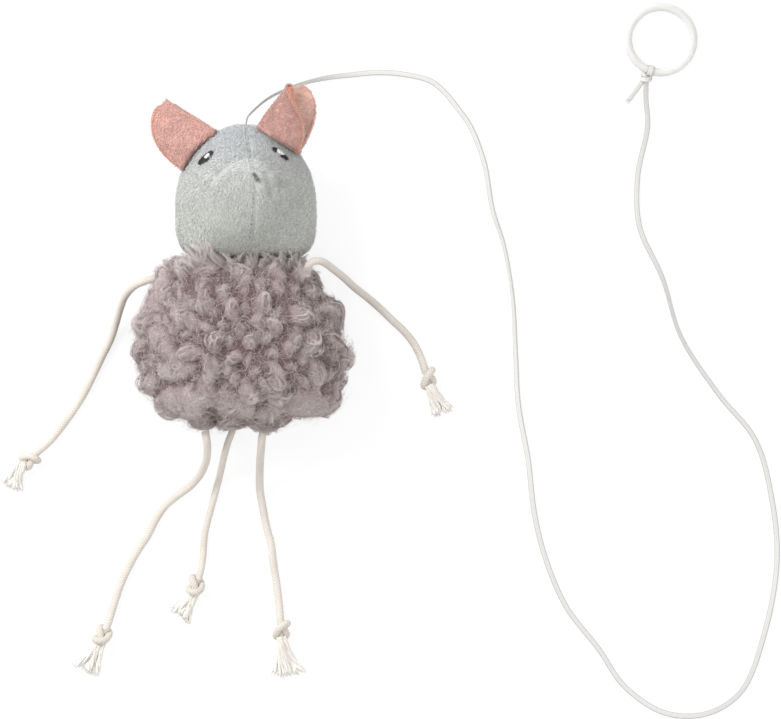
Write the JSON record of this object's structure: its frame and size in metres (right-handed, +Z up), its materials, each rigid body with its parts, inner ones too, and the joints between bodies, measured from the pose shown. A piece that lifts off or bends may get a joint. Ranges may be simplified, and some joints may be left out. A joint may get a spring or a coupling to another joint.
{
  "type": "plush mouse cat toy on an elastic string",
  "caption": "Stuffed plush mouse with cord limbs that end in knots and frayed tassels, and a long elastic string from its head to a finger ring.",
  "frame": {"origin": "centre of the flat patch under the body's back, which the lying toy rests on", "axes": "+Z up from the floor, out of the front of the body; +Y from the body to the head"},
  "size_m": [0.3274, 0.3005, 0.0643],
  "materials": {
    "velour": "short pile, pale blue grey",
    "stuffing": "loose polyester fibre",
    "pink_plush": "short pile, pink",
    "pink_lining": "short pile, pink",
    "black_thread": "embroidery thread",
    "white_thread": "embroidery thread",
    "grey_thread": "embroidery thread",
    "curly_fur": "long curly pile, mauve grey",
    "cotton_braid": "braided cotton cord, frayed at its end",
    "elastic": "flat woven elastic",
    "clear_plastic": "translucent white, smooth"
  },
  "bodies": {
    "torso": {"body_front_panel": "curly_fur", "body_back_panel": "curly_fur", "body_stuffing": "stuffing"},
    "head": {"head_left_panel": "velour", "head_right_panel": "velour", "head_stuffing": "stuffing", "left_eye": "black_thread", "left_eye_glint": "white_thread", "right_eye": "black_thread", "right_eye_glint": "white_thread", "nose": "grey_thread", "elastic_string": "elastic", "string_knot": "elastic", "string_end": "elastic"},
    "left_ear": {"left_ear_outer": "pink_plush", "left_ear_lining": "pink_lining"},
    "right_ear": {"right_ear_outer": "pink_plush", "right_ear_lining": "pink_lining"},
    "left_arm": {"left_arm_cord": "cotton_braid", "left_arm_knot": "cotton_braid", "left_arm_tassel": "cotton_braid"},
    "right_arm": {"right_arm_cord": "cotton_braid", "right_arm_knot": "cotton_braid", "right_arm_tassel": "cotton_braid"},
    "left_leg": {"left_leg_cord": "cotton_braid", "left_leg_knot": "cotton_braid", "left_leg_tassel": "cotton_braid"},
    "right_leg": {"right_leg_cord": "cotton_braid", "right_leg_knot": "cotton_braid", "right_leg_tassel": "cotton_braid"},
    "tail": {"tail_cord": "cotton_braid", "tail_knot": "cotton_braid", "tail_tassel": "cotton_braid"},
    "loop": {"ring_loop": "elastic"},
    "ring": {"finger_ring": "clear_plastic"}
  },
  "joints": [
    {"name": "neck_tilt", "type": "hinge", "parent": "torso", "child": "head", "pos_m": [0.0021, 0.0344, 0.026], "axis": [0, 0, 1], "range_deg": [-6, 6]},
    {"name": "left_ear_flop", "type": "hinge", "parent": "head", "child": "left_ear", "pos_m": [-0.0099, 0.0886, 0.032], "axis": [0.6591, 0.7521, 0], "range_deg": [-15, 35], "stiffness_Nm_per_rad": 0.004},
    {"name": "right_ear_flop", "type": "hinge", "parent": "head", "child": "right_ear", "pos_m": [0.0067, 0.0898, 0.03523], "axis": [0.8243, -0.5662, 0], "range_deg": [-15, 35], "stiffness_Nm_per_rad": 0.004},
    {"name": "left_arm_lift", "type": "hinge", "parent": "torso", "child": "left_arm", "pos_m": [-0.03467, 0.02811, 0.0255], "axis": [-0.8117, 0.5841, 0], "range_deg": [0, 60]},
    {"name": "right_arm_lift", "type": "hinge", "parent": "torso", "child": "right_arm", "pos_m": [0.02745, 0.02964, 0.03489], "axis": [-0.6548, -0.7558, 0], "range_deg": [0, 60]},
    {"name": "left_leg_lift", "type": "hinge", "parent": "torso", "child": "left_leg", "pos_m": [-0.01503, -0.03603, 0.0255], "axis": [-0.8939, 0.4482, 0], "range_deg": [0, 60]},
    {"name": "right_leg_lift", "type": "hinge", "parent": "torso", "child": "right_leg", "pos_m": [0.00908, -0.03669, 0.0255], "axis": [-0.9961, -0.0883, 0], "range_deg": [0, 60]},
    {"name": "tail_lift", "type": "hinge", "parent": "torso", "child": "tail", "pos_m": [-0.00316, -0.03398, 0.01512], "axis": [-0.9735, 0.2288, 0], "range_deg": [0, 45]},
    {"name": "ring_flip", "type": "hinge", "parent": "head", "child": "loop", "pos_m": [0.17156, 0.11514, 0.00295], "axis": [0.9511, -0.309, 0], "range_deg": [0, 150]},
    {"name": "ring_spin", "type": "hinge", "parent": "loop", "child": "ring", "pos_m": [0.1758, 0.1282, 0.00235], "axis": [0.0135, 0.0415, 0.999], "continuous": true}
  ]
}
